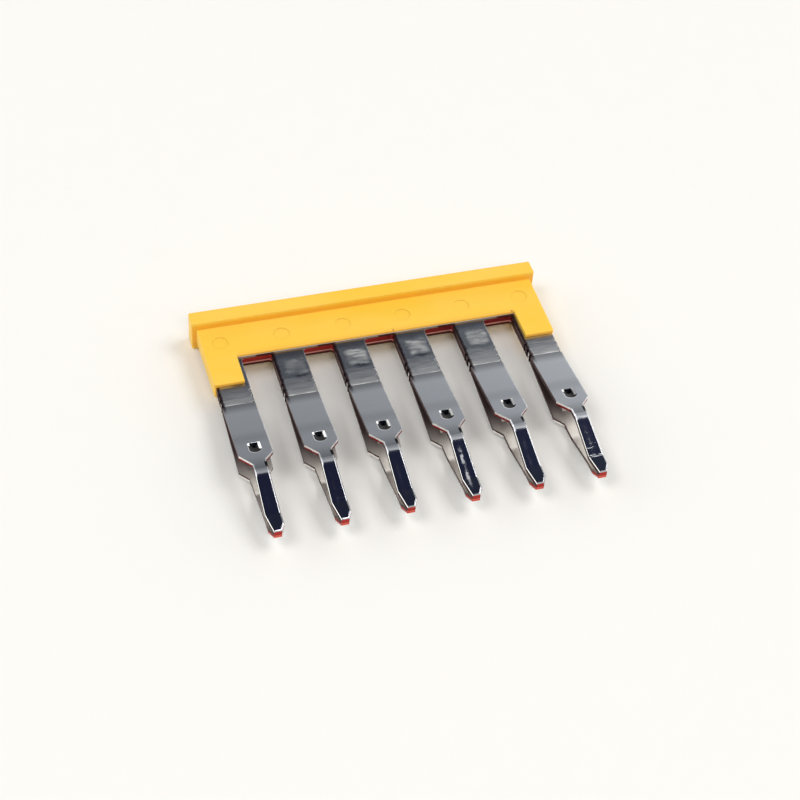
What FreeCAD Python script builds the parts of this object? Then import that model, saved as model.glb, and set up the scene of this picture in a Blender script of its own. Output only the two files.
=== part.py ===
"""Plug-in jumper bar for a row of six terminal blocks.

Two stamped combs lie face to face in the slot of a moulded yellow housing.
Their tines spread apart below the housing, so each pair presses outwards in
the busbar hole of its terminal.

Frame, in millimetres: X runs along the row of poles, Y points from the tips
of the tines to the grip rim, Z is up.  The bar lies flat, on the edge of the
rim and on the ridges of the lower tines.  The origin is the middle of its
footprint.  A station is a distance from the back of the rim, towards the tips.
"""
import FreeCAD, Part

import math
import os

import Sketcher

App = FreeCAD

SIZES = (
    ("pitch", 5.1, "from one pole to the next"),
    ("pole_count", 6, "number of poles"),
    ("overall_length", 23.6, "back of the rim to the ends of the tines"),
    ("rim_thickness", 2.8, "grip rim, across the bar"),
    ("rim_depth", 1.43, "grip rim, back to front"),
    ("rim_overhang", 0.36, "rim beyond each side of the plate"),
    ("rim_round", 0.14, "radius of the rim's edges"),
    ("cover_wall", 0.3, "housing wall over each comb"),
    ("side_wall", 0.48, "housing wall beside the combs"),
    ("back_wall", 0.6, "housing wall behind the combs"),
    ("slot_clearance", 0.02, "air between a comb and the slot"),
    ("notch_station", 5.06, "lower edge of the plate between its legs"),
    ("notch_round", 0.2, "rounding of that lower edge"),
    ("leg_station", 8.03, "lower end of the plate's two legs"),
    ("leg_width", 2.32, "each leg, in from the combs' outer edge"),
    ("side_cover", 0.14, "each leg beyond the combs' outer edge"),
    ("side_draft", 0.12, "plate wider at the rim than at its legs, each side"),
    ("leg_round", 0.11, "radius on the plate's side edges"),
    ("leg_corner", 0.25, "radius of the outer corner of each leg"),
    ("mark_station", 3.35, "row of pin marks"),
    ("mark_diameter", 1.3, "pin mark"),
    ("mark_depth", 0.05, "pin mark"),
    ("sheet_thickness", 0.4, "copper sheet of a comb"),
    ("web_lip", 0.2, "web that joins the tines, beyond the notch"),
    ("root_width", 2.64, "tine above the nicks"),
    ("root_round", 0.22, "inside corner between the web and a tine"),
    ("blade_width", 2.66, "tine below the nicks"),
    ("spread_offset", 2.14, "bend where the tines of a pair part, beyond the legs"),
    ("nick_count", 3, "pairs of nicks in a tine"),
    ("nick_spacing", 0.66, "from one pair of nicks to the next"),
    ("nick_depth", 0.2, "nick into the side of a tine"),
    ("nick_width", 0.3, "mouth of a nick"),
    ("score_depth", 0.012, "line scored from nick to nick"),
    ("score_width", 0.05, "half the mouth of that line"),
    ("dimple_offset", 0.8, "middle of the punched dimple, before the shoulders"),
    ("dimple_shift", 0.08, "dimple, off the middle of its tine"),
    ("dimple_width", 1.0, "dimple's mouth, across the tine"),
    ("dimple_head", 0.5, "middle of the dimple to its straight edge"),
    ("dimple_side", 0.42, "middle of the dimple to the end of its straight sides"),
    ("dimple_radius", 0.56, "dimple's round edge"),
    ("dimple_depth", 0.2, "dimple into the outer face"),
    ("dimple_floor", 0.14, "floor of the dimple, across"),
    ("dimple_skew", 0.28, "floor of the dimple, off its middle towards the head"),
    ("bump_size", 0.9, "bump that the punch raises on the inner face"),
    ("bump_height", 0.18, "that bump"),
    ("bend_radius", 0.45, "inside radius of the ridge's bend"),
    ("neck_length", 2.1, "start of the shoulders, before the ridge"),
    ("long_shoulder", 1.1, "shoulder on the long side of a tine, along it"),
    ("short_shoulder", 0.72, "shoulder on its short side, along it"),
    ("long_neck", 0.53, "middle of the tine to the foot of the long shoulder"),
    ("short_neck", 0.65, "middle of the tine to the foot of the short shoulder"),
    ("tip_length", 5.2, "ridge where the tine turns back inwards, before the end"),
    ("ridge_width", 1.1, "tine at the ridge"),
    ("swell_width", 1.23, "tip where it is widest"),
    ("taper_length", 1.66, "start of the taper on the long side, before the end"),
    ("nose_length", 0.65, "start of the taper on the short side, before the end"),
    ("taper_gap", 0.12, "inner face at the long taper, above the middle plane"),
    ("tip_width", 0.6, "tine at its end"),
    ("tip_bevel", 0.09, "bevel around the tip's outer face"),
)


def make_sheet(doc):
    """Writes the sizes into a spreadsheet, one alias to a row."""
    sheet = doc.addObject("Spreadsheet::Sheet", "sizes")
    for row, (alias, value, note) in enumerate(SIZES, start=1):
        sheet.set(f"A{row}", alias)
        sheet.set(f"B{row}", str(value))
        sheet.setAlias(f"B{row}", alias)
        sheet.set(f"C{row}", note)
    doc.recompute()
    return sheet


def from_back(size):
    """Expression for the Y of a station, given the alias or term that names it."""
    return f"(sizes.overall_length / 2 - ({size}))"


def origin_plane(body, role):
    """One of the body's own origin planes or axes."""
    for feature in body.Origin.OriginFeatures:
        if feature.Role == role:
            return feature
    raise RuntimeError(f"{body.Label} has no {role}")


def sketch_on(body, role, name):
    """Empty sketch on an origin plane of the body."""
    sketch = body.newObject("Sketcher::SketchObject", name)
    sketch.AttachmentSupport = [(origin_plane(body, role), "")]
    sketch.MapMode = "FlatFace"
    return sketch


def place_point(sketch, line, end, across, along):
    """Dimensions one end of a line from the sketch's origin."""
    at = sketch.getPoint(line, end)
    for kind, guess, term in (("DistanceX", at.x, across), ("DistanceY", at.y, along)):
        number = sketch.addConstraint(Sketcher.Constraint(kind, -1, 1, line, end, guess))
        sketch.setExpression(f"Constraints[{number}]", term)


def closed_outline(sketch, corners):
    """Closed run of straight lines whose corners are (across, along) expressions."""
    first = sketch.GeometryCount
    count = len(corners)
    start = []
    for number in range(count):
        turn = 2 * math.pi * number / count
        start.append(App.Vector(10 * math.cos(turn), 10 * math.sin(turn), 0))
    for number in range(count):
        line = Part.LineSegment(start[number], start[(number + 1) % count])
        sketch.addGeometry(line, False)
    for number in range(count):
        following = first + (number + 1) % count
        sketch.addConstraint(Sketcher.Constraint("Coincident", first + number, 2, following, 1))
    for number, (across, along) in enumerate(corners):
        place_point(sketch, first + number, 1, across, along)


def symmetric(feature, length):
    """Makes a pad or pocket run half its length to each side of its sketch."""
    feature.SideType = "Symmetric"
    feature.setExpression("Length", length)


def edges_where(shape, test):
    """Names of the edges whose middle point and bounding box pass a test."""
    names = []
    for number, edge in enumerate(shape.Edges, start=1):
        middle = edge.valueAt((edge.FirstParameter + edge.LastParameter) / 2)
        if test(middle, edge.BoundBox):
            names.append(f"Edge{number}")
    return names


WEB = "(sizes.notch_station + sizes.web_lip)"
SPREAD = "(sizes.leg_station + sizes.spread_offset)"
TAPER = "(sizes.overall_length - sizes.taper_length)"
RIDGE = "(sizes.overall_length - sizes.tip_length)"
SHOULDER = f"({RIDGE} - sizes.neck_length)"
DIMPLE = f"({SHOULDER} - sizes.dimple_offset)"
TINES_SPAN = "((sizes.pole_count - 1) * sizes.pitch + sizes.blade_width)"
SLOT_WIDTH = f"({TINES_SPAN} - 2 * sizes.side_wall)"
PLATE_THICKNESS = "(2 * sizes.sheet_thickness + 2 * sizes.cover_wall)"


def make_housing(doc, size):
    """Yellow moulded housing: grip rim, plate with two legs, slot for the combs."""
    body = doc.addObject("PartDesign::Body", "housing_body")
    body.Label = "insulating_housing"

    plate_sketch = sketch_on(body, "XY_Plane", "plate_outline")
    outer = f"({TINES_SPAN} / 2 + sizes.side_cover)"
    drafted = f"({outer} + sizes.side_draft)"
    inner = f"({TINES_SPAN} / 2 - sizes.leg_width)"
    top = from_back("sizes.rim_depth / 2")
    notch = from_back("sizes.notch_station")
    foot = from_back("sizes.leg_station")
    closed_outline(plate_sketch, [
        (f"-{drafted}", top),
        (f"-{outer}", foot),
        (f"-{inner}", foot),
        (f"-{inner}", notch),
        (inner, notch),
        (inner, foot),
        (outer, foot),
        (drafted, top),
    ])
    plate = body.newObject("PartDesign::Pad", "plate")
    plate.Profile = plate_sketch
    symmetric(plate, PLATE_THICKNESS)

    rim_sketch = sketch_on(body, "XY_Plane", "rim_outline")
    half = f"({drafted} + sizes.rim_overhang)"
    back = from_back("0")
    front = from_back("sizes.rim_depth")
    closed_outline(rim_sketch, [
        (f"-{half}", back),
        (f"-{half}", front),
        (half, front),
        (half, back),
    ])
    rim = body.newObject("PartDesign::Pad", "rim")
    rim.Profile = rim_sketch
    symmetric(rim, "sizes.rim_thickness")
    doc.recompute()

    back_y = size["overall_length"] / 2
    front_y = back_y - size["rim_depth"]
    notch_y = back_y - size["notch_station"]
    foot_y = back_y - size["leg_station"]
    plate_z = size["sheet_thickness"] + size["cover_wall"]
    rim_z = size["rim_thickness"] / 2
    span = (size["pole_count"] - 1) * size["pitch"] + size["blade_width"]
    rim_x = span / 2 + size["side_cover"] + size["side_draft"] + size["rim_overhang"]
    near = 0.01

    corner_fillet = body.newObject("PartDesign::Fillet", "leg_corners")
    corner_fillet.Base = (rim, edges_where(rim.Shape, lambda middle, box: (
        abs(middle.y - foot_y) < near and abs(middle.x) > span / 2 - near
        and abs(middle.z) < near)))
    corner_fillet.setExpression("Radius", "sizes.leg_corner")
    doc.recompute()

    rim_fillet = body.newObject("PartDesign::Fillet", "rim_rounding")
    rim_fillet.Base = (corner_fillet, edges_where(corner_fillet.Shape, lambda middle, box: (
        middle.y > front_y - near
        and (abs(middle.z) > rim_z - near or abs(middle.x) > rim_x - near))))
    rim_fillet.setExpression("Radius", "sizes.rim_round")
    doc.recompute()

    notch_fillet = body.newObject("PartDesign::Fillet", "notch_rounding")
    notch_fillet.Base = (rim_fillet, edges_where(rim_fillet.Shape, lambda middle, box: (
        abs(middle.y - notch_y) < near and box.XLength > size["pitch"]
        and abs(abs(middle.z) - plate_z) < near)))
    notch_fillet.setExpression("Radius", "min(sizes.notch_round; sizes.cover_wall * 0.9)")
    doc.recompute()

    leg_fillet = body.newObject("PartDesign::Fillet", "leg_rounding")
    leg_fillet.Base = (notch_fillet, edges_where(notch_fillet.Shape, lambda middle, box: (
        abs(abs(middle.z) - plate_z) < near
        and (abs(middle.x) > span / 2 - near or abs(middle.y - foot_y) < near))))
    leg_fillet.setExpression("Radius", "min(sizes.leg_round; sizes.cover_wall * 0.4)")
    doc.recompute()

    slot_sketch = sketch_on(body, "XY_Plane", "slot_outline")
    side = f"({SLOT_WIDTH} / 2 + sizes.slot_clearance)"
    deep = from_back("sizes.back_wall")
    below = from_back("sizes.leg_station + 1")
    closed_outline(slot_sketch, [
        (f"-{side}", deep),
        (f"-{side}", below),
        (side, below),
        (side, deep),
    ])
    slot = body.newObject("PartDesign::Pocket", "comb_slot")
    slot.Profile = slot_sketch
    symmetric(slot, "2 * sizes.sheet_thickness + 2 * sizes.slot_clearance")

    for face, sign in (("upper", ""), ("lower", "-")):
        mark_sketch = sketch_on(body, "XY_Plane", f"{face}_mark_circle")
        mark_sketch.setExpression("AttachmentOffset.Base.z", f"{sign}{PLATE_THICKNESS} / 2")
        circle = Part.Circle(App.Vector(0, 0, 0), App.Vector(0, 0, 1), 1)
        mark_sketch.addGeometry(circle, False)
        place_point(mark_sketch, 0, 3, "-(sizes.pole_count - 1) * sizes.pitch / 2",
                    from_back("sizes.mark_station"))
        number = mark_sketch.addConstraint(Sketcher.Constraint("Diameter", 0, 1.0))
        mark_sketch.setExpression(f"Constraints[{number}]", "sizes.mark_diameter")
        mark = body.newObject("PartDesign::Pocket", f"{face}_mark")
        mark.Profile = mark_sketch
        symmetric(mark, "2 * sizes.mark_depth")
        marks = body.newObject("PartDesign::LinearPattern", f"{face}_marks")
        marks.Originals = [mark]
        along_row(marks, body, "sizes.pole_count - 1")
        body.Tip = marks
        doc.recompute()
    return body


def along_row(pattern, body, steps):
    """Sets a pattern to repeat at the pitch, along X, the given number of steps."""
    pattern.Direction = (origin_plane(body, "X_Axis"), [""])
    pattern.Mode = "Extent"
    pattern.setExpression("Length", f"({steps}) * sizes.pitch")
    pattern.setExpression("Occurrences", f"{steps} + 1")


def strip_profile(sketch):
    """Side view of the bent sheet, inner face on the middle plane at the head."""
    stations = (
        "sizes.back_wall + sizes.slot_clearance",
        SPREAD,
        RIDGE,
        TAPER,
        "sizes.overall_length",
    )
    last = len(stations) - 1
    inner_guess = ((11.5, 0), (1.7, 0), (-6.7, 1.0), (-10.2, 0.12), (-12.1, 0))
    thick = 0.4
    inner = [App.Vector(y, z, 0) for y, z in inner_guess]
    outer = [App.Vector(y, z + thick, 0) for y, z in inner_guess]
    for side in (inner, outer):
        for number in range(last):
            sketch.addGeometry(Part.LineSegment(side[number], side[number + 1]), False)
    head_end = sketch.addGeometry(Part.LineSegment(inner[0], outer[0]), False)
    tip_end = sketch.addGeometry(Part.LineSegment(inner[last], outer[last]), False)
    rule = Sketcher.Constraint
    for number in range(last - 1):
        sketch.addConstraint(rule("Coincident", number, 2, number + 1, 1))
        sketch.addConstraint(rule("Coincident", last + number, 2, last + number + 1, 1))
    sketch.addConstraint(rule("Coincident", head_end, 1, 0, 1))
    sketch.addConstraint(rule("Coincident", head_end, 2, last, 1))
    sketch.addConstraint(rule("Coincident", tip_end, 1, last - 1, 2))
    sketch.addConstraint(rule("Coincident", tip_end, 2, 2 * last - 1, 2))
    sketch.addConstraint(rule("Vertical", head_end))
    sketch.addConstraint(rule("Vertical", tip_end))
    for number, station in enumerate(stations):
        line, end = (number, 1) if number < last else (last - 1, 2)
        index = sketch.addConstraint(rule("DistanceX", -1, 1, line, end, inner[number].x))
        sketch.setExpression(f"Constraints[{index}]", from_back(station))
    sketch.addConstraint(rule("PointOnObject", 0, 1, -1))
    sketch.addConstraint(rule("PointOnObject", 1, 1, -1))
    sketch.addConstraint(rule("PointOnObject", last - 1, 2, -1))
    index = sketch.addConstraint(rule("DistanceY", -1, 1, last - 1, 1, inner[3].y))
    sketch.setExpression(f"Constraints[{index}]", "sizes.taper_gap")
    index = sketch.addConstraint(rule("DistanceY", -1, 1, last + 2, 1, outer[2].y))
    sketch.setExpression(f"Constraints[{index}]", "sizes.rim_thickness / 2")
    for number in range(last):
        sketch.addConstraint(rule("Parallel", number, last + number))
        index = sketch.addConstraint(rule("Distance", last + number, 1, number, thick))
        sketch.setExpression(f"Constraints[{index}]", "sizes.sheet_thickness")


def tine_side(nick_total, shoulder, neck, taper):
    """One side of a tine as (distance from the middle of the gap beside it, Y) pairs."""
    def gap(half_tine):
        return f"(sizes.pitch / 2 - {half_tine})"

    root = gap("sizes.root_width / 2")
    blade = gap("sizes.blade_width / 2")
    tip = gap("sizes.tip_width / 2")
    side = [(root, from_back(WEB))]
    for number in range(nick_total):
        steps = nick_total - 1 - number
        station = f"{SPREAD} - {steps} * sizes.nick_spacing"
        before = root if number == 0 else blade
        side.append((before, from_back(f"{station} - sizes.nick_width / 2")))
        side.append((f"({blade} + sizes.nick_depth)", from_back(station)))
        side.append((blade, from_back(f"{station} + sizes.nick_width / 2")))
    side.append((blade, from_back(SHOULDER)))
    side.append((gap(neck), from_back(f"{SHOULDER} + {shoulder}")))
    side.append((gap("sizes.ridge_width / 2"), from_back(RIDGE)))
    side.append((gap("sizes.swell_width / 2"), from_back(f"sizes.overall_length - {taper}")))
    side.append((tip, from_back("sizes.overall_length")))
    side.append((tip, from_back("sizes.overall_length + 1")))
    return side


def gap_outline(nick_total):
    """Corners of the first gap.  The tine on its right turns its long side to it."""
    middle = "(-sizes.pole_count * sizes.pitch / 2)"
    long_side = tine_side(nick_total, "sizes.long_shoulder", "sizes.long_neck", "sizes.taper_length")
    short_side = tine_side(nick_total, "sizes.short_shoulder", "sizes.short_neck", "sizes.nose_length")
    right = [(f"{middle} + {across}", along) for across, along in long_side]
    left = [(f"{middle} - {across}", along) for across, along in reversed(short_side)]
    return right + left


def dimple_outline(sketch, width, head, side, radius):
    """Straight head and sides, closed by a round edge towards the tip."""
    half = 0.5
    sketch.addGeometry(Part.LineSegment(App.Vector(half, -0.2, 0), App.Vector(half, half, 0)), False)
    sketch.addGeometry(Part.LineSegment(App.Vector(half, half, 0), App.Vector(-half, half, 0)), False)
    sketch.addGeometry(Part.LineSegment(App.Vector(-half, half, 0), App.Vector(-half, -0.2, 0)), False)
    circle = Part.Circle(App.Vector(0, 0.1, 0), App.Vector(0, 0, 1), 0.6)
    sketch.addGeometry(Part.ArcOfCircle(circle, math.pi * 1.18, math.pi * 1.82), False)
    rule = Sketcher.Constraint
    for first, first_end, second, second_end in ((0, 2, 1, 1), (1, 2, 2, 1), (2, 2, 3, 1), (3, 2, 0, 1)):
        sketch.addConstraint(rule("Coincident", first, first_end, second, second_end))
    place_point(sketch, 0, 1, f"{width} / 2", f"-({side})")
    place_point(sketch, 0, 2, f"{width} / 2", head)
    place_point(sketch, 2, 1, f"-{width} / 2", head)
    place_point(sketch, 2, 2, f"-{width} / 2", f"-({side})")
    number = sketch.addConstraint(rule("Radius", 3, 0.6))
    sketch.setExpression(f"Constraints[{number}]", radius)


def make_comb(doc, size, name, turned):
    """One stamped comb.  The lower one is the same comb turned over about Y."""
    body = doc.addObject("PartDesign::Body", f"{name}_body")
    body.Label = name

    strip_sketch = sketch_on(body, "YZ_Plane", f"{name}_strip_profile")
    strip_profile(strip_sketch)
    strip = body.newObject("PartDesign::Pad", f"{name}_strip")
    strip.Profile = strip_sketch
    symmetric(strip, TINES_SPAN)
    doc.recompute()
    round_ridge(doc, body, size, strip, name)

    score_sketch = sketch_on(body, "YZ_Plane", f"{name}_score_profile")
    for steps in range(int(size["nick_count"])):
        station = f"{SPREAD} - {steps} * sizes.nick_spacing"
        closed_outline(score_sketch, [
            (from_back(f"{station} + sizes.score_width"), "sizes.sheet_thickness + sizes.score_depth"),
            (from_back(station), "sizes.sheet_thickness - sizes.score_depth"),
            (from_back(f"{station} - sizes.score_width"), "sizes.sheet_thickness + sizes.score_depth"),
        ])
    score = body.newObject("PartDesign::Pocket", f"{name}_score")
    score.Profile = score_sketch
    symmetric(score, f"{TINES_SPAN} + 2")

    gap_sketch = sketch_on(body, "XY_Plane", f"{name}_gap_outline")
    closed_outline(gap_sketch, gap_outline(int(size["nick_count"])))
    gap = body.newObject("PartDesign::Pocket", f"{name}_gap")
    gap.Profile = gap_sketch
    symmetric(gap, "4 * sizes.rim_thickness")
    gaps = body.newObject("PartDesign::LinearPattern", f"{name}_gaps")
    gaps.Originals = [gap]
    along_row(gaps, body, "sizes.pole_count")
    body.Tip = gaps
    doc.recompute()

    ends_sketch = sketch_on(body, "XY_Plane", f"{name}_end_outline")
    for sign in ("-", ""):
        closed_outline(ends_sketch, [
            (f"{sign}{SLOT_WIDTH} / 2", from_back("0")),
            (f"{sign}{SLOT_WIDTH} / 2", from_back("sizes.leg_station + sizes.slot_clearance")),
            (f"{sign}({TINES_SPAN} / 2 + 1)", from_back("sizes.leg_station + sizes.slot_clearance")),
            (f"{sign}({TINES_SPAN} / 2 + 1)", from_back("0")),
        ])
    ends = body.newObject("PartDesign::Pocket", f"{name}_ends")
    ends.Profile = ends_sketch
    symmetric(ends, "4 * sizes.rim_thickness")
    doc.recompute()
    web_y = size["overall_length"] / 2 - size["notch_station"] - size["web_lip"]
    near = 0.01
    roots = body.newObject("PartDesign::Fillet", f"{name}_roots")
    roots.Base = (ends, edges_where(ends.Shape, lambda middle, box: (
        abs(middle.y - web_y) < near and box.XLength < near and box.YLength < near)))
    roots.setExpression("Radius", "sizes.root_round")
    doc.recompute()

    rise = f"((sizes.rim_thickness / 2 - sizes.sheet_thickness) / ({RIDGE} - {SPREAD}))"
    outer_height = f"(sizes.sheet_thickness + {rise} * ({DIMPLE} - {SPREAD}))"
    first_tine = "(sizes.dimple_shift - (sizes.pole_count - 1) * sizes.pitch / 2)"
    first_y = from_back(DIMPLE)
    bump = body.newObject("PartDesign::AdditiveWedge", f"{name}_bump")
    bump.AttachmentSupport = [(origin_plane(body, "XY_Plane"), "")]
    bump.MapMode = "FlatFace"
    for bound, term in (
        ("Xmin", "-sizes.bump_size / 2"), ("Xmax", "sizes.bump_size / 2"),
        ("Zmin", "-sizes.bump_size / 2"), ("Zmax", "sizes.bump_size / 2"),
        ("X2min", "-sizes.dimple_floor / 2"), ("X2max", "sizes.dimple_floor / 2"),
        ("Z2min", "-sizes.dimple_floor / 2"), ("Z2max", "sizes.dimple_floor / 2"),
        ("Ymin", "0"), ("Ymax", "sizes.bump_height + sizes.sheet_thickness / 4"),
    ):
        bump.setExpression(bound, term)
    tilt_to_blade(bump, first_tine, first_y, f"{outer_height} - sizes.sheet_thickness * 3 / 4", -90, rise)

    mouth = sketch_on(body, "XY_Plane", f"{name}_dimple_mouth")
    dimple_outline(mouth, "sizes.dimple_width", "sizes.dimple_head", "sizes.dimple_side",
                   "sizes.dimple_radius")
    tilt_to_blade(mouth, first_tine, first_y, outer_height, 0, rise)
    floor = sketch_on(body, "XY_Plane", f"{name}_dimple_floor")
    dimple_outline(floor, "sizes.dimple_floor", "(sizes.dimple_skew + sizes.dimple_floor / 2)",
                   "(sizes.dimple_floor / 4 - sizes.dimple_skew)", "sizes.dimple_floor")
    tilt_to_blade(floor, first_tine, first_y, f"{outer_height} - sizes.dimple_depth", 0, rise)
    dimple = body.newObject("PartDesign::SubtractiveLoft", f"{name}_dimple")
    dimple.Profile = mouth
    dimple.Sections = [floor]
    dimple.Ruled = True
    originals = [bump, dimple]
    punched = body.newObject("PartDesign::LinearPattern", f"{name}_dimples")
    punched.Originals = originals
    along_row(punched, body, "sizes.pole_count - 1")
    body.Tip = punched
    doc.recompute()
    bevel_tips(doc, body, size, name)
    if turned:
        body.Placement = App.Placement(App.Vector(0, 0, 0), App.Rotation(App.Vector(0, 1, 0), 180))
    return body


def tilt_to_blade(feature, across, along, height, turn, rise):
    """Lays a feature of a tine on its blade, turned about X by an angle and the slope."""
    feature.AttachmentOffset = App.Placement(App.Vector(0, 0, 0), App.Rotation(App.Vector(1, 0, 0), 1))
    feature.setExpression("AttachmentOffset.Base.x", across)
    feature.setExpression("AttachmentOffset.Base.y", along)
    feature.setExpression("AttachmentOffset.Base.z", height)
    feature.setExpression("AttachmentOffset.Rotation.Angle", f"{turn} deg - atan({rise})")


def round_ridge(doc, body, size, strip, name):
    """Bends the ridge to a radius, the outer face about the same centre as the inner."""
    ridge_y = size["tip_length"] - size["overall_length"] / 2
    ridge_z = size["rim_thickness"] / 2
    near = 0.1
    before = strip
    for side, middle_z, radius in (
        ("outer", ridge_z, "sizes.bend_radius + sizes.sheet_thickness"),
        ("inner", ridge_z - size["sheet_thickness"], "sizes.bend_radius"),
    ):
        bend = body.newObject("PartDesign::Fillet", f"{name}_{side}_bend")
        bend.Base = (before, edges_where(before.Shape, lambda middle, box: (
            box.XLength > size["pitch"] and abs(middle.y - ridge_y) < near
            and abs(middle.z - middle_z) < near)))
        bend.setExpression("Radius", radius)
        doc.recompute()
        before = bend


def tip_height(size, y):
    """Height of a tip's outer face above the middle plane, at a place along it."""
    back_y = size["overall_length"] / 2
    end_y = -back_y
    ridge_y = end_y + size["tip_length"]
    taper_y = end_y + size["taper_length"]
    ridge_z = size["rim_thickness"] / 2
    taper_z = size["taper_gap"] + size["sheet_thickness"]
    if y > taper_y:
        return ridge_z + (taper_z - ridge_z) * (ridge_y - y) / (ridge_y - taper_y)
    return taper_z - size["taper_gap"] * (taper_y - y) / (taper_y - end_y)


def bevel_tips(doc, body, size, name):
    """Coined bevel around the outer face of each tip, from the ridge to the end."""
    end_y = -size["overall_length"] / 2
    ridge_y = end_y + size["tip_length"]
    near = 0.01
    dimpled = body.Tip

    def on_tip_outline(middle, box):
        outer = abs(middle.z - tip_height(size, middle.y)) < size["sheet_thickness"] / 4
        across = box.YLength < near
        upright = box.XLength < near and box.YLength < near
        at_end = middle.y < end_y + near
        return middle.y < ridge_y - near and outer and not upright and (at_end or not across)

    bevel = body.newObject("PartDesign::Chamfer", f"{name}_bevel")
    bevel.Base = (dimpled, edges_where(dimpled.Shape, on_tip_outline))
    bevel.setExpression("Size", "sizes.tip_bevel")
    doc.recompute()


def main():
    doc = App.newDocument("jumper_bar")
    size = {alias: value for alias, value, note in SIZES}
    make_sheet(doc)
    bodies = [
        make_housing(doc, size),
        make_comb(doc, size, "upper_comb", False),
        make_comb(doc, size, "lower_comb", True),
    ]
    for body in bodies:
        body.setExpression("Placement.Base.z", "sizes.rim_thickness / 2")
    doc.recompute()
    for thing in doc.Objects:
        if "Invalid" in thing.State or "Error" in thing.State:
            raise RuntimeError(f"{thing.Label} failed: {thing.State}")
    os.makedirs("parts", exist_ok=True)
    for body in bodies:
        shape = body.Shape
        if shape.isNull() or not shape.isValid():
            raise RuntimeError(f"{body.Label} has no valid shape")
        shape.exportStep(os.path.join("parts", f"{body.Label}.step"))
        box = shape.BoundBox
        print(body.Label, len(shape.Solids), "solid", len(shape.Faces), "faces",
              round(shape.Volume, 3), "mm3",
              [round(v, 3) for v in (box.XMin, box.XMax, box.YMin, box.YMax, box.ZMin, box.ZMax)])


main()
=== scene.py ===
# %% [markdown]
# # A plug-in jumper bar for six terminal blocks
# This lesson dresses a small electrical part: two stamped, tin-plated copper combs that lie face to face in
# a moulded yellow grip.  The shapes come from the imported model, in metres.  The bar lies flat with X along
# the row of tines, Y from the tips to the grip, and Z up.  What Blender adds is the finish of every
# surface, the light and the camera.

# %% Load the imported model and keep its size
import math

import bpy
from mathutils import Matrix, Vector

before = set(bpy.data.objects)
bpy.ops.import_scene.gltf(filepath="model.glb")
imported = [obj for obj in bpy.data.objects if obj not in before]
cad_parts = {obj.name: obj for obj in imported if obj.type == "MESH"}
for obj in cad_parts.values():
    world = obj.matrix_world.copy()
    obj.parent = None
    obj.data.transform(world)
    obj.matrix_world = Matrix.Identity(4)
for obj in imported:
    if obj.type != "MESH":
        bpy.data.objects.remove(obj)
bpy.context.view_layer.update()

print("nodes", sorted(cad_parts))

# %% [markdown]
# ## The sizes that the finishes need
# Each finish has a fixed place along the bar.  That place is given by a station, the distance in
# millimetres from the back of the grip.  The numbers are the ones that the model was made from, written
# once here, and every material below reads them by name.

# %% Sizes of the bar, in millimetres
PITCH = 5.1                 # one tine to the next
LENGTH = 23.6               # back of the grip to the tips
THICK = 2.8                 # grip rim, across the bar
SHEET = 0.4                 # copper sheet
RIM = 1.43                  # depth of the grip rim
NOTCH = 5.06                # lower edge of the plate between its legs
LEGS = 8.03                 # lower end of the plate's legs
BEND = 10.17                # line where the two tines of a pair part
NICKS = 0.66                # one pair of nicks to the next
DIMPLE = 15.5               # middle of the punched dimple
RIDGE = 18.4                # line where the tines turn back inwards
TAPER = 21.94               # start of the pointed end
RIDGE_GAP = 1.0             # inner face at the ridge, above the middle plane
TAPER_GAP = 0.12            # inner face at the start of the pointed end, above the middle plane
print("first nick at station", round(BEND - 2 * NICKS, 2), "ridge at", RIDGE)

# %% [markdown]
# ## Camera
# The photo looks down at about 45 degrees from a little to the left of the tips, with a long lens, so the
# rows stay nearly parallel.  A camera can be aimed by hand.  Here its turn, height, roll, place and lens
# were solved by fitting corners of the model's grip and tines to the photo, so they are odd numbers.

# %% Aim the camera
TURN, HEIGHT, ROLL = math.radians(-18.956), math.radians(44.982), math.radians(4.062)
PLACE = (-0.032783, -0.09538, 0.101711)
LENS = 80.68
back = Vector((math.sin(TURN) * math.cos(HEIGHT), -math.cos(TURN) * math.cos(HEIGHT), math.sin(HEIGHT)))
right = (-back).cross(Vector((0, 0, 1))).normalized()
up = right.cross(-back)
right, up = (right * math.cos(ROLL) + up * math.sin(ROLL), up * math.cos(ROLL) - right * math.sin(ROLL))
camera = bpy.data.objects.new("Camera", bpy.data.cameras.new("Camera"))
bpy.context.scene.collection.objects.link(camera)
camera.data.sensor_width = 36
camera.data.lens = LENS
camera.data.clip_start, camera.data.clip_end = 0.005, 20
camera.matrix_world = Matrix.Translation(PLACE) @ Matrix((right, up, back)).transposed().to_4x4()
bpy.context.scene.camera = camera
bpy.context.scene.view_settings.view_transform = "Standard"
print("camera at", PLACE, "lens", LENS)

# %% [markdown]
# ## Small helpers for shader trees
# A material is a chain of nodes.  Writing each node as one call keeps the chains short enough to read:
# `add` makes any node, `maths` does arithmetic, `times` and `total` multiply and add several values, `rise`
# fades from 0 to 1 between two values, `band` is 1 around a value and 0 away from it, and `blend` mixes two
# colours by a mask.

# %% Helpers for shader trees
def add(tree, kind, inputs=None, **settings):
    """Makes a node.  An input takes a plain value, or the socket that feeds it."""
    made = tree.nodes.new(kind)
    for name, value in settings.items():
        setattr(made, name, value)
    for key, value in (inputs or {}).items():
        if isinstance(value, bpy.types.NodeSocket):
            tree.links.new(value, made.inputs[key])
        else:
            made.inputs[key].default_value = value
    return made


def maths(tree, operation, *terms):
    return add(tree, "ShaderNodeMath", dict(enumerate(terms)), operation=operation).outputs[0]


def times(tree, *terms):
    """Product of two or more values."""
    result = terms[0]
    for term in terms[1:]:
        result = maths(tree, "MULTIPLY", result, term)
    return result


def total(tree, *terms):
    """Sum of two or more values."""
    result = terms[0]
    for term in terms[1:]:
        result = maths(tree, "ADD", result, term)
    return result


def most(tree, first, second):
    return maths(tree, "MAXIMUM", first, second)


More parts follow.
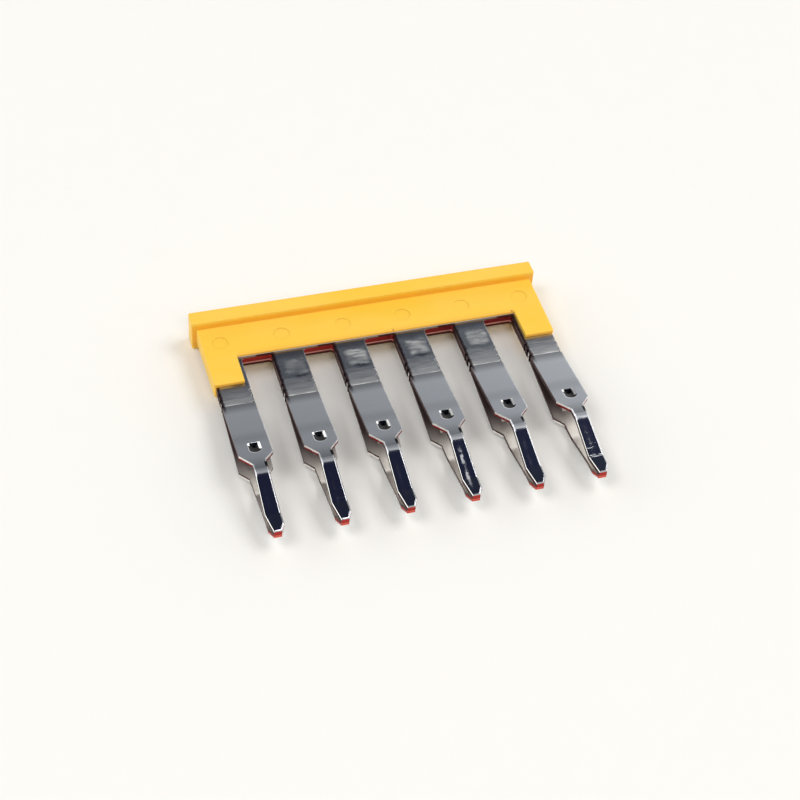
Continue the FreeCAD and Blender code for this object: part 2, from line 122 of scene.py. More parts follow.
def opposite(tree, mask):
    return maths(tree, "SUBTRACT", 1.0, mask)


def rise(tree, value, start, end):
    """0 before start, 1 after end, with a soft shoulder.  It falls instead where start is past end."""
    inputs = {"Value": value, "From Min": start, "From Max": end}
    if isinstance(start, float) and start > end:
        inputs.update({"From Min": end, "From Max": start, "To Min": 1.0, "To Max": 0.0})
    return add(tree, "ShaderNodeMapRange", inputs, interpolation_type="SMOOTHSTEP").outputs["Result"]


def band(tree, value, middle, half, soft):
    away = maths(tree, "ABSOLUTE", maths(tree, "SUBTRACT", value, middle))
    return rise(tree, away, half + soft, max(half - soft, 0.0))


def blend(tree, mask, first, second, how="MIX"):
    made = add(tree, "ShaderNodeMix", data_type="RGBA", blend_type=how)
    for socket, value in ((made.inputs[0], mask), (made.inputs[6], first), (made.inputs[7], second)):
        if isinstance(value, bpy.types.NodeSocket):
            tree.links.new(value, socket)
        else:
            socket.default_value = value
    return made.outputs[2]


def noise(tree, place, scale, detail=2.0, stretch=(1, 1, 1)):
    """Even noise between 0 and 1.  scale is in lumps per millimetre, stretch slows it along an axis."""
    size = [1000 * scale / slower for slower in stretch]
    moved = add(tree, "ShaderNodeVectorMath", {0: place, 1: size}, operation="MULTIPLY").outputs[0]
    return add(tree, "ShaderNodeTexNoise", {"Vector": moved, "Scale": 1.0, "Detail": detail}).outputs["Fac"]


def in_millimetres(tree, place):
    """X, Y and Z of a point, in millimetres."""
    larger = add(tree, "ShaderNodeVectorMath", {0: place, "Scale": 1000.0}, operation="SCALE")
    return add(tree, "ShaderNodeSeparateXYZ", {0: larger.outputs[0]}).outputs


def new_group(name, inputs, outputs):
    """Empty node group with float, vector or colour sockets, and its two end nodes."""
    tree = bpy.data.node_groups.new(name, "ShaderNodeTree")
    kinds = {"F": "NodeSocketFloat", "V": "NodeSocketVector", "C": "NodeSocketColor"}
    for side, sockets in (("INPUT", inputs), ("OUTPUT", outputs)):
        for label, kind in sockets:
            tree.interface.new_socket(label, in_out=side, socket_type=kinds[kind])
    return tree, tree.nodes.new("NodeGroupInput").outputs, tree.nodes.new("NodeGroupOutput").inputs


def use(tree, group, inputs):
    made = tree.nodes.new("ShaderNodeGroup")
    made.node_tree = group
    for key, value in inputs.items():
        if isinstance(value, bpy.types.NodeSocket):
            tree.links.new(value, made.inputs[key])
        else:
            made.inputs[key].default_value = value
    return made.outputs


def new_material(name):
    """Material with its Principled shader and its object coordinates."""
    made = bpy.data.materials.new(name)
    made.use_nodes = True
    tree = made.node_tree
    coords = tree.nodes.new("ShaderNodeTexCoord").outputs
    return made, tree, tree.nodes["Principled BSDF"], coords


print("helpers ready")

# %% [markdown]
# ## Where a point lies on a comb
# The two combs are alike, so one group of nodes turns a point's object coordinates into a maker's own
# measures: the station along the bar, the distance from the middle of the nearest tine, and the depth
# through the sheet, from 0 on the outer face to 1 on the inner one.  Wrapping X at the pitch lets one
# description serve all six tines, and folding Z about the middle plane serves both combs.

# %% Group: place on a comb
def make_comb_place():
    tree, given, made = new_group(
        "place on a comb", (("Position", "V"), ("Normal", "V")),
        (("Station", "F"), ("Across", "F"), ("Depth", "F"), ("Outward", "F"), ("Forward", "F"),
         ("Sideways", "F"), ("Upper", "F"), ("Along", "F")))
    place = in_millimetres(tree, given["Position"])
    normal = add(tree, "ShaderNodeSeparateXYZ", {0: given["Normal"]}).outputs
    station = maths(tree, "SUBTRACT", LENGTH / 2, place["Y"])
    shifted = maths(tree, "ADD", place["X"], PITCH / 2)
    across = maths(tree, "WRAP", shifted, PITCH / 2, -PITCH / 2)
    above = maths(tree, "SUBTRACT", place["Z"], THICK / 2)

    def slope(start, end, height):
        return add(tree, "ShaderNodeMapRange", {
            "Value": station, "From Min": start, "From Max": end, "To Max": height}).outputs["Result"]

    lift = maths(tree, "SUBTRACT", slope(BEND, RIDGE, RIDGE_GAP), slope(RIDGE, TAPER, RIDGE_GAP - TAPER_GAP))
    lift = maths(tree, "SUBTRACT", lift, slope(TAPER, LENGTH, TAPER_GAP))
    inside = maths(tree, "SUBTRACT", maths(tree, "ADD", lift, SHEET), maths(tree, "ABSOLUTE", above))
    for label, value in (
        ("Station", station),
        ("Across", across),
        ("Depth", maths(tree, "DIVIDE", inside, SHEET)),
        ("Outward", maths(tree, "MULTIPLY", normal["Z"], maths(tree, "SIGN", above))),
        ("Forward", maths(tree, "MULTIPLY", normal["Y"], -1.0)),
        ("Sideways", normal["X"]),
        ("Upper", maths(tree, "GREATER_THAN", above, 0.0)),
        ("Along", place["X"]),
    ):
        tree.links.new(value, made[label])
    return tree


comb_place = make_comb_place()
print("group", comb_place.name, "with", len(comb_place.nodes), "nodes")

# %% [markdown]
# ## Scratches and streaks
# Long thin scratches come from noise that is stretched along one direction: where the stretched noise
# crosses one level, it draws a hairline.  A second, rounder noise rubs most of them out again, so that they
# come in patches.  Streaks are stretched noise without the hairline.

# %% Group: scratches and streaks
def make_scratches():
    tree, given, made = new_group(
        "scratches and streaks", (("Position", "V"), ("Patches", "F")),
        (("Hairlines", "F"), ("Streaks", "F")))
    lines = band(tree, noise(tree, given["Position"], 4.0, 3.0, (14, 1, 14)), 0.5, 0.004, 0.006)
    cross = band(tree, noise(tree, given["Position"], 2.6, 3.0, (1, 9, 9)), 0.47, 0.003, 0.004)
    cloud = noise(tree, given["Position"], 0.9, 3.0)
    kept = rise(tree, cloud, opposite(tree, given["Patches"]), 1.0)
    tree.links.new(times(tree, most(tree, lines, cross), kept), made["Hairlines"])
    tree.links.new(noise(tree, given["Position"], 5.0, 4.0, (9, 1, 9)), made["Streaks"])
    return tree


scratches = make_scratches()
print("group", scratches.name, "with", len(scratches.nodes), "nodes")

# %% [markdown]
# ## The cut edge of the sheet
# Round most of each tine the photo shows a bright line next to the plated face and red-brown metal beside
# it, which is taken for bare copper.  One even colour would look painted, so this group gives an uneven
# tint and fine upright lines, which the material uses for the colour and for the relief.

# %% Group: sheared edge
def make_sheared_edge():
    tree, given, made = new_group("sheared edge", (("Position", "V"),), (("Tint", "F"), ("Lines", "F")))
    tree.links.new(noise(tree, given["Position"], 2.2, 2.0, (1, 1, 3)), made["Tint"])
    tree.links.new(noise(tree, given["Position"], 16.0, 2.0, (1, 1, 12)), made["Lines"])
    return tree


sheared_edge = make_sheared_edge()
print("group", sheared_edge.name, "with", len(sheared_edge.nodes), "nodes")

# %% [markdown]
# ## Colours of the comb
# One material serves both combs.  Metal takes most of its look from what it reflects, and the photo doesn't
# show what stood round the object.  So some tones that are probably reflections or shade in the photo are
# given here as colour: the tone along a tine, the dark corner at the neck, the black of the dimple, the
# line on the left bevel of a tip, the dark left edge of a root, the nicks, the seam and the dark inner
# faces.  The price is that they stay in place when the view or the light turns.

# %% Colours of the comb
TIN = (0.67, 0.69, 0.735, 1)
SMOOTH_TIN = (0.52, 0.54, 0.59, 1)
# Rubbed tin, also used for the bright painted line on a tip's bevel.
RUBBED_TIN_AND_HIGHLIGHT = (0.76, 0.78, 0.765, 1)
INNER_TIN = (0.84, 0.815, 0.78, 1)
DARK_INNER = (0.17, 0.11, 0.115, 1)
SHADED_TIN = (0.22, 0.23, 0.28, 1)
# Burnish on a cut edge, also used for painted highlights.
BURNISH_AND_HIGHLIGHT = (0.96, 0.945, 0.925, 1)
PINK_COPPER = (0.72, 0.30, 0.24, 1)
RED_COPPER = (0.60, 0.055, 0.035, 1)
CRIMSON = (0.30, 0.018, 0.02, 1)
MAROON = (0.07, 0.016, 0.018, 1)
BLACK = (0.004, 0.005, 0.008, 1)

print("tin reflects", TIN[:3], "and bare copper", RED_COPPER[:3])

# %% [markdown]
# ## Marks on the root
# Between the web and the bend the photo shows a darker band under the plate, a rubbed patch with short
# dashes across it, a haze that grows towards the bend, and scored lines from nick to nick.  Each is a mask
# placed by station.  The band under the plate, a dark streak level with the end of the legs and the two
# scored lines before the bend are painted shade, and the bright scored line at the bend is a painted
# highlight.  A slow noise shifts the edges of the patch, the haze and the shade, so that no two tines look
# alike.

# %% Group: marks on the root
def make_root_wear():
    """Masks for the marks, the painted shade and the painted highlight between the web and the bend."""
    tree, given, made = new_group(
        "root wear", (("Position", "V"), ("Station", "F"), ("Across", "F"), ("Along", "F")),
        (("Rubbed", "F"), ("Shade", "F"), ("Line", "F"), ("Root", "F")))
    position, along = given["Position"], given["Along"]
    wobble = times(tree, maths(tree, "SUBTRACT", noise(tree, position, 1.3, 3.0), 0.5), 0.55)
    station = total(tree, given["Station"], wobble)
    across = total(tree, given["Across"], wobble)
    fine = noise(tree, position, 7.0, 3.0, (7, 1, 1))
    blotch = noise(tree, position, 2.4, 4.0, (2.2, 1, 1))

    # The rubbed patch, faint on the first tines, with short dashes across it.
    worn = total(tree, 0.5, times(tree, rise(tree, along, -7.0, -2.5), 0.45))
    mixed = total(tree, times(tree, fine, 0.55), times(tree, blotch, 0.45))
    patch = times(tree, band(tree, station, NOTCH + 1.99, 0.85, 0.16), band(tree, across, 0.26, 0.82, 0.22),
                  rise(tree, mixed, 0.22, 0.72), worn)
    dashes = rise(tree, noise(tree, position, 3.4, 2.0, (4, 1, 1)), 0.50, 0.60)
    patch = times(tree, patch, opposite(tree, times(tree, dashes, 0.5)))

    # The haze from the legs to the bend.
    gain = total(tree, 0.08, times(tree, rise(tree, station, LEGS + 0.17, BEND + 0.13), 0.36))
    before = rise(tree, given["Station"], BEND + 0.08, BEND - 0.02)
    haze = times(tree, rise(tree, station, LEGS + 0.12, LEGS + 0.37), before,
                 band(tree, across, 0.0, 1.25, 0.15),
                 total(tree, gain, times(tree, rise(tree, fine, 0.3, 0.75), 0.22)))
    tree.links.new(most(tree, patch, haze), made["Rubbed"])

    # Painted shade: under the plate, a streak level with the end of the legs, and the scored lines.
    streak = times(tree, band(tree, station, LEGS + 0.02, 0.06, 0.16), band(tree, across, 0.4, 0.5, 0.3),
                   rise(tree, along, 6.5, 4.0))
    painted_under_plate_shade = rise(tree, station, NOTCH + 1.0, NOTCH + 0.55)
    painted_groove_shade = most(tree, band(tree, given["Station"], BEND - NICKS, 0.06, 0.04),
                   band(tree, given["Station"], BEND - 2 * NICKS, 0.06, 0.04))
    shade = most(tree, times(tree, painted_under_plate_shade, 0.66), times(tree, painted_groove_shade, 0.6))
    tree.links.new(most(tree, shade, streak), made["Shade"])

    # A painted highlight on the scored line at the bend, in broken lengths, and a faint one on the first.
    broken = rise(tree, noise(tree, position, 0.55), 0.42, 0.56)
    even = total(tree, given["Station"], times(tree, wobble, 0.25))
    line = times(tree, band(tree, even, BEND, 0.04, 0.05),
                 band(tree, given["Across"], 0.1, 1.1, 0.15), broken)
    first = times(tree, band(tree, even, BEND - 2 * NICKS, 0.02, 0.05), 0.2,
                  band(tree, given["Across"], 0.0, 0.9, 0.2), opposite(tree, broken))
    tree.links.new(most(tree, line, first), made["Line"])
    tree.links.new(before, made["Root"])
    return tree


root_wear = make_root_wear()
print("group", root_wear.name, "with", len(root_wear.nodes), "nodes")

# %% [markdown]
# ## Colour round the edge of the sheet
# In the photo the long sides are dark red with a bright rim, the shoulders are bright with a red line under
# them, the ends are red, the web goes from red to dark along the row, and the seam between the sheets is
# dark.  The nicks are dark with bright glints on the left and hardly show on the right, and here they are
# simply black.  The dark of the long sides, the lower web, the seam and the nicks is painted shade, and the
# bright rims are burnish with a painted highlight.  All of these are the same cut edge, so this group tells
# them apart by the way the edge faces, the station and the depth.

# %% Group: colour of the cut edge
def make_cut_colour():
    tree, given, made = new_group(
        "cut colour", (("Station", "F"), ("Depth", "F"), ("Forward", "F"), ("Sideways", "F"),
                       ("Upper", "F"), ("Along", "F"), ("Tint", "F")),
        (("Color", "C"), ("Bare", "F")))
    station, depth, upper = given["Station"], given["Depth"], given["Upper"]
    ragged = times(tree, maths(tree, "SUBTRACT", given["Tint"], 0.5), 0.3)
    deep = total(tree, depth, ragged)
    lower = opposite(tree, upper)
    facing = rise(tree, given["Forward"], 0.2, 0.4)

    # Long sides: a bright rim of burnish and painted highlight, then copper darkened as painted shade.
    # The upper comb's left sides are painted shade all over.
    painted_dark_side = times(tree, upper, rise(tree, given["Sideways"], 0.1, -0.1))
    bright = times(tree, rise(tree, deep, 0.34, 0.2), opposite(tree, painted_dark_side))
    long_side = blend(tree, bright, MAROON, BURNISH_AND_HIGHLIGHT)
    # A painted glint on the cut edge between the last two nicks.
    painted_glint = times(tree, band(tree, station, BEND - 0.5 * NICKS, 0.1, 0.05), rise(tree, depth, 0.95, 0.8))
    long_side = blend(tree, painted_glint, long_side, BURNISH_AND_HIGHLIGHT)
    joint = times(tree, lower, rise(tree, station, BEND + 0.4, BEND),
                  band(tree, depth, 0.82, 0.07, 0.05), 0.1)
    long_side = blend(tree, joint, long_side, PINK_COPPER)

    # Shoulders, tapers and ends.  The bright band on a shoulder is burnish with a painted highlight, and
    # the dark lower band on the lower comb is painted shade.
    above = blend(tree, rise(tree, deep, 0.42, 0.56), BURNISH_AND_HIGHLIGHT, CRIMSON)
    below = blend(tree, rise(tree, deep, 0.55, 0.68), BURNISH_AND_HIGHLIGHT, MAROON)
    taper = times(tree, rise(tree, station, TAPER - 0.3, TAPER + 0.2), 0.85)
    below = blend(tree, taper, below, blend(tree, given["Tint"], CRIMSON, RED_COPPER))
    shoulder = blend(tree, upper, below, above)
    end = rise(tree, station, LENGTH - 0.12, LENGTH - 0.06)
    lower_end = blend(tree, 0.2, RED_COPPER, PINK_COPPER)
    upper_end = blend(tree, 0.6, RED_COPPER, CRIMSON)
    shoulder = blend(tree, end, shoulder, blend(tree, upper, lower_end, upper_end))
    colour = blend(tree, facing, long_side, shoulder)

    # The web: red above, a pink line and dark copper below, darkened as painted shade, and darker towards
    # the last tine.
    far = rise(tree, given["Along"], -8.0, 9.0)
    web_above = blend(tree, 0.65, blend(tree, far, RED_COPPER, MAROON), CRIMSON)
    web_below = blend(tree, rise(tree, depth, 0.52, 0.64), MAROON, PINK_COPPER)
    web = blend(tree, upper, web_below, web_above)
    colour = blend(tree, rise(tree, station, NOTCH + 0.5, NOTCH + 0.36), colour, web)

    # Painted shade in the seam between the sheets and in the nicks.
    painted_seam_shade = times(tree, rise(tree, depth, 0.9, 0.99), 0.9)
    colour = blend(tree, painted_seam_shade, colour, BLACK)
    painted_nick_shade = times(tree, band(tree, station, BEND - NICKS, NICKS + 0.17, 0.02),
                   rise(tree, maths(tree, "ABSOLUTE", given["Sideways"]), 0.97, 0.9))
    colour = blend(tree, painted_nick_shade, colour, BLACK)
    tree.links.new(colour, made["Color"])
    tree.links.new(rise(tree, deep, 0.3, 0.4), made["Bare"])
    return tree


cut_colour = make_cut_colour()
print("group", cut_colour.name, "with", len(cut_colour.nodes), "nodes")

# %% [markdown]
# ## Tone along a tine
# The model's blades are flat, so each shows nearly one tone.  The photo's blades are darker just past the
# bend, a little darker half way and darker again before the ridge.  Why isn't known, so the shape stays as
# it is, and three soft bands between the bend and the ridge paint that change in as shade.

# %% Group: tone along a tine
def make_tine_tone():
    tree, given, made = new_group("tone along a tine", (("Station", "F"),), (("Tone", "C"),))
    station = given["Station"]
    past_bend = times(tree, rise(tree, station, BEND - 0.02, BEND + 0.09),
                      rise(tree, station, BEND + 1.25, BEND + 0.15), 0.48)
    half_way = times(tree, band(tree, station, (BEND + RIDGE) / 2 + 0.15, 0.45, 0.55), 0.15)
    before_ridge = times(tree, rise(tree, station, RIDGE - 2.0, RIDGE - 0.3),
                         rise(tree, station, RIDGE - 0.25, RIDGE - 0.35), 0.40)
    level = opposite(tree, total(tree, past_bend, half_way, before_ridge))
    tone = add(tree, "ShaderNodeCombineColor", {0: level, 1: level, 2: level}).outputs[0]
    tree.links.new(tone, made["Tone"])
    return tree


tine_tone = make_tine_tone()
print("group", tine_tone.name, "with", len(tine_tone.nodes), "nodes")

# %% [markdown]
# ## Tin-plated copper
# The material puts the groups together.  The roots are a little rougher than the blades, and the tips are
# nearly as smooth as a mirror.  Roughness and relief carry the small marks: hairlines, streaks, the ticks
# and the cloudy streak on the tips, and the upright lines of the cut edge.

# %% Masks of the dimple and the tips
def dimple_masks(tree, place):
    """The whole dimple, and its part painted black as shade, which leaves out its left corner and its right
    rim.
    """
    station, across = place["Station"], place["Across"]
    pit = times(tree, band(tree, station, DIMPLE, 0.74, 0.04), band(tree, across, 0.08, 0.60, 0.04),
                rise(tree, place["Depth"], 0.01, 0.05), rise(tree, place["Outward"], -0.1, 0.0))
    # The left corner and the right rim are left out of the painted black; they get a painted highlight.
    corner = times(tree, rise(tree, across, -0.22, -0.28), rise(tree, station, DIMPLE - 0.2, DIMPLE - 0.28))
    rim = times(tree, rise(tree, across, 0.34, 0.44), rise(tree, station, DIMPLE + 0.35, DIMPLE + 0.2))
    return pit, times(tree, pit, opposite(tree, most(tree, corner, rim)))


def tip_marks(tree, position, place, tip):
    """A cloudy streak, strongest on the fourth tine, and short ticks across, strongest on the last."""
    station, across, along = place["Station"], place["Across"], place["Along"]
    streak = times(
        tree, tip, band(tree, across, -0.14, 0.05, 0.2), band(tree, station, RIDGE + 2.6, 1.7, 0.8),
        rise(tree, noise(tree, position, 2.0, 4.0), 0.3, 0.62),
        total(tree, 0.22, band(tree, along, PITCH / 2, 1.0, 0.8)))
    ticks = times(
        tree, band(tree, station, RIDGE + 3.2, 0.7, 0.4),
        rise(tree, noise(tree, position, 4.0, 2.0, (10, 1, 1)), 0.52, 0.66),
        total(tree, rise(tree, noise(tree, position, 0.5, 1.0), 0.5, 0.62),
              band(tree, along, 2.5 * PITCH, 1.0, 0.8)))
    return streak, ticks


print("masks for dimples at station", DIMPLE, "and tips from", RIDGE)

# %% [markdown]
# ## The whole finish of a comb
# The Bevel node gives a normal that is rounded at the edges.  It is used only where that normal leans to
# the right.  Elsewhere the plain normal stays, and the edges look crisp.

# %% Finish of the combs
def make_tinned_copper(name):
    material, tree, shader, coords = new_material(name)
    position = coords["Object"]
    place = use(tree, comb_place, {"Position": position, "Normal": coords["Normal"]})
    station, across, depth, outward = place["Station"], place["Across"], place["Depth"], place["Outward"]
    marks = use(tree, scratches, {"Position": position, "Patches": 0.42})
    edge = use(tree, sheared_edge, {"Position": position})
    wear = use(tree, root_wear, {
        "Position": position, "Station": station, "Across": across, "Along": place["Along"]})
    sheared = use(tree, cut_colour, {
        "Station": station, "Depth": depth, "Forward": place["Forward"], "Sideways": place["Sideways"],
        "Upper": place["Upper"], "Along": place["Along"], "Tint": edge["Tint"]})

    # Faces: cut edge, inner face, and the rest is the plated outer face.
    pit, painted_pit_shade = dimple_masks(tree, place)
    steep = rise(tree, maths(tree, "ABSOLUTE", outward), 0.55, 0.35)
    cut = times(tree, steep, opposite(tree, pit))
    inner = rise(tree, outward, -0.4, -0.6)
    tip = rise(tree, station, RIDGE + 0.18, RIDGE + 0.5)
    crown = band(tree, station, RIDGE + 0.04, 0.14, 0.09)
    root = wear["Root"]

    # Colour of the outer face, from the root to the tip.
    colour = blend(tree, root, TIN, SMOOTH_TIN)
    colour = blend(tree, wear["Rubbed"], colour, RUBBED_TIN_AND_HIGHLIGHT)
    # A painted highlight on the scored line at the bend.
    colour = blend(tree, times(tree, wear["Line"], 0.7), colour, BURNISH_AND_HIGHLIGHT)
    # Painted shade under the plate, at the end of the legs and in the scored lines.
    colour = blend(tree, wear["Shade"], colour, SHADED_TIN)
    # Painted shade along the left edge of a root.
    painted_left_edge_shade = times(
        tree, rise(tree, total(tree, across, times(tree, edge["Tint"], 0.24)), -0.88, -1.04),
        rise(tree, station, BEND + 1.2, BEND), rise(tree, outward, 0.6, 0.9), 0.9)
    colour = blend(tree, painted_left_edge_shade, colour, MAROON)
    # Painted shade in the corner at the neck.
    painted_neck_shade = times(tree, band(tree, station, RIDGE - 0.74, 0.3, 0.1), rise(tree, across, 0.34, 0.42),
                        rise(tree, outward, 0.3, 0.5))
    colour = blend(tree, painted_neck_shade, colour, BLACK)
    # The tone along a tine is painted shade.
    colour = blend(tree, 1.0, colour, use(tree, tine_tone, {"Station": station})["Tone"], "MULTIPLY")
    # A painted reflection on the left bevel of a tip: a black line, then a bright one.
    left_bevel = times(tree, tip, band(tree, outward, 0.68, 0.12, 0.06),
                       rise(tree, place["Sideways"], -0.4, -0.55))
    painted_bevel_reflection = blend(tree, rise(tree, depth, 0.12, 0.14), BLACK, RUBBED_TIN_AND_HIGHLIGHT)
    colour = blend(tree, left_bevel, colour, painted_bevel_reflection)

    # Colour of the inner face, the dimple and the cut edge.  The inner face is painted darker towards the
    # bend as shade.
    painted_inner_shade = blend(tree, rise(tree, station, RIDGE - 0.9, RIDGE - 4.4), INNER_TIN, DARK_INNER)
    colour = blend(tree, inner, colour, painted_inner_shade)
    # A painted highlight on the dimple's left corner and right rim, and painted black shade in the rest.
    colour = blend(tree, maths(tree, "SUBTRACT", pit, painted_pit_shade), colour, BURNISH_AND_HIGHLIGHT)
    colour = blend(tree, painted_pit_shade, colour, BLACK)
    colour = blend(tree, cut, colour, sheared["Color"])
    tree.links.new(colour, shader.inputs["Base Color"])

    bare = times(tree, cut, sheared["Bare"])
    streak, ticks = tip_marks(tree, position, place, tip)
    rough = total(
        tree, 0.2, times(tree, root, 0.05), times(tree, wear["Rubbed"], 0.3), times(tree, wear["Line"], 0.22),
        times(tree, marks["Hairlines"], 0.1), times(tree, tip, -0.15), times(tree, crown, 0.26),
        times(tree, inner, 0.28), times(tree, streak, 0.34), times(tree, ticks, 0.3), times(tree, bare, 0.25))
    tree.links.new(rough, shader.inputs["Roughness"])

    # Relief, in millimetres.
    relief = total(
        tree,
        times(tree, wear["Line"], 0.005),
        times(tree, marks["Streaks"], total(tree, 0.0005, times(tree, root, 0.001))),
        times(tree, marks["Hairlines"], -0.0006),
        times(tree, noise(tree, position, 0.7, 2.0, (1, 2, 1)), tip, 0.012),
        times(tree, ticks, 0.003),
        times(tree, edge["Lines"], bare, 0.012))
    rounded = add(tree, "ShaderNodeBevel", {"Radius": 0.00009}, samples=6).outputs[0]
    leaning = add(tree, "ShaderNodeSeparateXYZ", {0: rounded}).outputs["X"]
    softened = add(tree, "ShaderNodeMix", {
        0: rise(tree, leaning, -0.02, 0.06), 4: coords["Normal"], 5: rounded}, data_type="VECTOR").outputs[1]
    bump = add(tree, "ShaderNodeBump", {"Height": relief, "Distance": 0.001, "Normal": softened})
    tree.links.new(bump.outputs[0], shader.inputs["Normal"])
    shader.inputs["Metallic"].default_value = 1.0
    return material


tinned_copper = make_tinned_copper("tinned copper")
for node in ("upper_comb", "lower_comb"):
    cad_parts[node].material_slots[0].material = tinned_copper
print("finish", tinned_copper.name, "with", len(tinned_copper.node_tree.nodes), "nodes")

# %% [markdown]
# ## Grain of the moulded plastic
# The grip has a very fine even grain and a soft, slightly uneven sheen.  Three noises of different sizes
# give the grain, the sheen and a slow change of colour.

# %% Group: moulded grain
def make_moulded_grain():
    tree, given, made = new_group(
        "moulded grain", (("Position", "V"),), (("Grain", "F"), ("Sheen", "F"), ("Flow", "F")))
    tree.links.new(noise(tree, given["Position"], 14.0, 2.0), made["Grain"])
    tree.links.new(noise(tree, given["Position"], 1.6, 3.0), made["Sheen"])
    tree.links.new(noise(tree, given["Position"], 0.22, 2.0, (2, 1, 1)), made["Flow"])
    return tree


moulded_grain = make_moulded_grain()
print("group", moulded_grain.name, "with", len(moulded_grain.nodes), "nodes")

# %% [markdown]
# ## Yellow plastic
# In the photo the yellow deepens in the crease under the rim and towards the plate's lower edge.  The deeper
# yellow in the crease and on the low front step is painted shade.  A thin strip of that edge, next to the
# combs, is nearly white, a painted highlight, and two small dark specks lie close to it.

# %% Yellow plastic
YELLOW = (0.955, 0.59, 0.050, 1)
PALE_YELLOW = (0.96, 0.61, 0.080, 1)
DEEP_YELLOW = (0.92, 0.47, 0.035, 1)
# White for the painted highlight on the plate's lower edge.
HIGHLIGHT_WHITE = (1.0, 0.95, 0.90, 1)
SPECK_BROWN = (0.36, 0.07, 0.01, 1)


def make_yellow_plastic(name):
    material, tree, shader, coords = new_material(name)
    grain = use(tree, moulded_grain, {"Position": coords["Object"]})
    place = in_millimetres(tree, coords["Object"])
    facing = add(tree, "ShaderNodeSeparateXYZ", {0: coords["Normal"]}).outputs
    station = maths(tree, "SUBTRACT", LENGTH / 2, place["Y"])
    above = maths(tree, "ABSOLUTE", maths(tree, "SUBTRACT", place["Z"], THICK / 2))

    colour = blend(tree, rise(tree, grain["Flow"], 0.3, 0.7), YELLOW, PALE_YELLOW)
    # Painted shade in the crease under the rim.
    crease_shade = times(tree, band(tree, station, RIM, 0.06, 0.1), rise(tree, above, 1.15, 0.72), 0.75)
    colour = blend(tree, crease_shade, colour, DEEP_YELLOW)
    # Painted shade on the faces of the low step that look towards the tips.
    forward = rise(tree, times(tree, facing["Y"], -1.0), 0.5, 0.9)
    low_step_shade = times(tree, forward, rise(tree, above, 1.22, 0.98))
    colour = blend(tree, low_step_shade, colour, DEEP_YELLOW)
    # A painted highlight on a thin strip of the plate's lower edge, next to the combs.
    painted_edge_highlight = times(tree, band(tree, station, NOTCH, 0.12, 0.05), rise(tree, above, 0.50, 0.45), forward)
    colour = blend(tree, painted_edge_highlight, colour, HIGHLIGHT_WHITE)
    # The top face is deeper yellow towards the plate's lower edge, above the combs.
    deeper_near_edge = times(tree, band(tree, place["X"], 0.0, 11.6, 0.1), rise(tree, station, NOTCH - 0.6, NOTCH + 0.1),
                 rise(tree, station, NOTCH + 0.2, NOTCH + 0.1), rise(tree, facing["Z"], 0.6, 0.9), 0.55)
    colour = blend(tree, deeper_near_edge, colour, DEEP_YELLOW)
    specks = most(tree, band(tree, place["X"], 11.57, 0.05, 0.08), band(tree, place["X"], 1.31, 0.04, 0.06))
    specks = times(tree, specks, band(tree, station, NOTCH - 0.11, 0.05, 0.07))
    colour = blend(tree, specks, colour, SPECK_BROWN)
    tree.links.new(colour, shader.inputs["Base Color"])
    rough = total(tree, 0.36, times(tree, grain["Sheen"], 0.16))
    tree.links.new(rough, shader.inputs["Roughness"])
    height = times(tree, grain["Grain"], 0.0022)
    rounded = add(tree, "ShaderNodeBevel", {"Radius": 0.00006}, samples=4).outputs[0]
    bump = add(tree, "ShaderNodeBump", {"Height": height, "Distance": 0.001, "Normal": rounded})
    tree.links.new(bump.outputs[0], shader.inputs["Normal"])
    return material


yellow_plastic = make_yellow_plastic("yellow moulded plastic")
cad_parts["insulating_housing"].material_slots[0].material = yellow_plastic
print("finish", yellow_plastic.name, "with", len(yellow_plastic.node_tree.nodes), "nodes")

# %% [markdown]
# ## Floor
# The floor is plain and pale like the photo's, with a faint fibre as on paper, and it catches the soft
# shadow.

# %% Floor
bpy.ops.object.select_all(action="DESELECT")
bpy.ops.mesh.primitive_plane_add(size=1.6, location=(0, 0, 0))
floor = bpy.context.object
floor.name = "floor"
paper, tree, shader, coords = new_material("white paper")
fibre = noise(tree, coords["Object"], 0.35, 3.0)
white = blend(tree, fibre, (0.915, 0.905, 0.88, 1), (0.925, 0.915, 0.895, 1))
tree.links.new(white, shader.inputs["Base Color"])
tree.links.new(total(tree, 0.8, times(tree, fibre, 0.1)), shader.inputs["Roughness"])
shader.inputs["Specular IOR Level"].default_value = 0.1
floor.data.materials.append(paper)
print("floor", floor.name)

# %% [markdown]
# ## Surroundings
# Polished metal shows what stands round it.  The photo doesn't show that, so these surroundings were set
# until the tin had about the photo's tones: pale near the horizon, dark above, a little brighter on the
# right and even grey in front of the tips.  An image could be used instead, but this script reads no
# image.

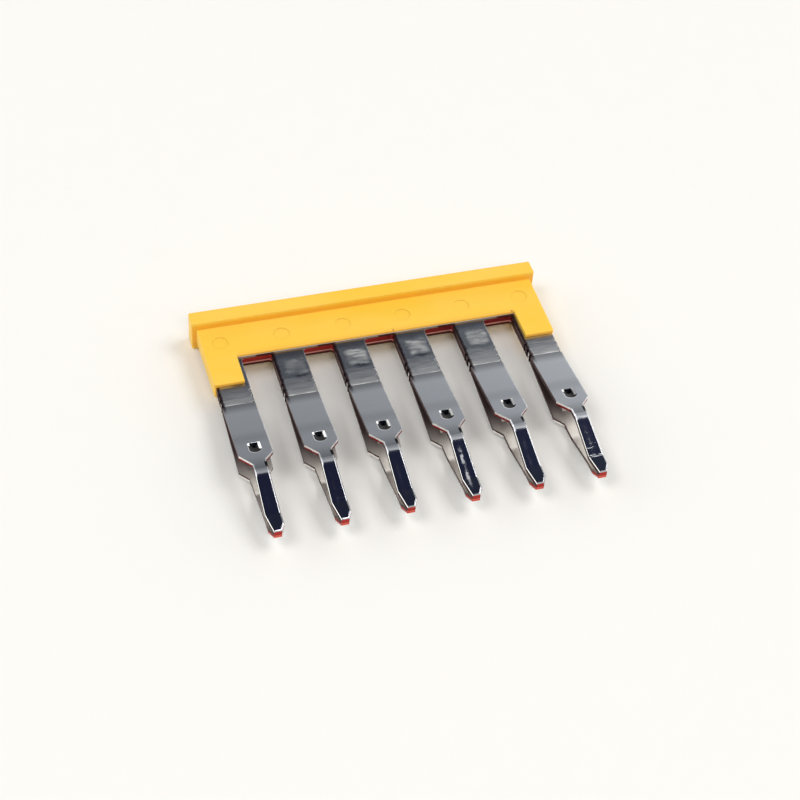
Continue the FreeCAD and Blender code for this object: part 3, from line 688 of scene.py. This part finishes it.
# %% Surroundings
world = bpy.data.worlds.new("studio surroundings")
world.use_nodes = True
tree = world.node_tree
direction = add(tree, "ShaderNodeTexCoord").outputs["Generated"]
heading = add(tree, "ShaderNodeSeparateXYZ", {0: direction}).outputs
ramp = add(tree, "ShaderNodeValToRGB", {"Fac": heading["Z"]})
stops = (
    (0.0, (0.92, 0.90, 0.86)),
    (0.34, (0.86, 0.84, 0.80)),
    (0.44, (0.70, 0.70, 0.68)),
    (0.525, (0.38, 0.40, 0.42)),
    (0.60, (0.17, 0.185, 0.20)),
    (0.68, (0.07, 0.078, 0.09)),
    (0.80, (0.024, 0.028, 0.045)),
    (0.94, (0.018, 0.021, 0.046)),
)
while len(ramp.color_ramp.elements) < len(stops):
    ramp.color_ramp.elements.new(0.5)
for element, (place, colour) in zip(ramp.color_ramp.elements, stops):
    element.position = place
    element.color = (*colour, 1)
walls = blend(tree, rise(tree, heading["Y"], 0.2, -0.6), ramp.outputs["Color"], (0.50, 0.49, 0.47, 1))
brighter = total(tree, 1.0, times(tree, rise(tree, heading["X"], 0.18, 0.5), 0.8))
walls = add(tree, "ShaderNodeVectorMath", {0: walls, "Scale": brighter}, operation="SCALE").outputs[0]
tree.links.new(walls, tree.nodes["Background"].inputs["Color"])
tree.nodes["Background"].inputs["Strength"].default_value = 0.9
bpy.context.scene.world = world
print("surroundings with", len(stops), "heights")

# %% [markdown]
# ## Lamps
# The photo's shadows are soft, so the lamps are wide.  Four of them look at the bar from a metre away: one
# on each side, a low and very wide one behind on the left, and a smaller one in front.

# %% Lamps
def softbox(name, turn, height, distance, size, power, colour):
    """Rectangular lamp that looks at the bar.  Turn 0 is in front of the tips, 90 to their right."""
    lamp = bpy.data.objects.new(name, bpy.data.lights.new(name, "AREA"))
    lamp.data.shape = "RECTANGLE"
    lamp.data.size, lamp.data.size_y = size
    lamp.data.energy = power
    lamp.data.color = colour
    turn, height = math.radians(turn), math.radians(height)
    away = Vector((math.sin(turn) * math.cos(height), -math.cos(turn) * math.cos(height), math.sin(height)))
    lamp.location = away * distance
    lamp.rotation_mode = "QUATERNION"
    lamp.rotation_quaternion = away.to_track_quat("Z", "Y")
    bpy.context.scene.collection.objects.link(lamp)
    return lamp


softbox("left softbox", -95, 58, 1.0, (0.6, 0.45), 2.95, (1.0, 0.985, 0.95))
softbox("right softbox", 95, 52, 1.0, (0.6, 0.45), 3.65, (1.0, 0.985, 0.95))
softbox("low back softbox", -125, 21, 1.0, (1.1, 0.45), 1.95, (1.0, 0.99, 0.97))
softbox("front softbox", 0, 45, 1.0, (0.4, 0.3), 2.15, (1.0, 0.985, 0.96))
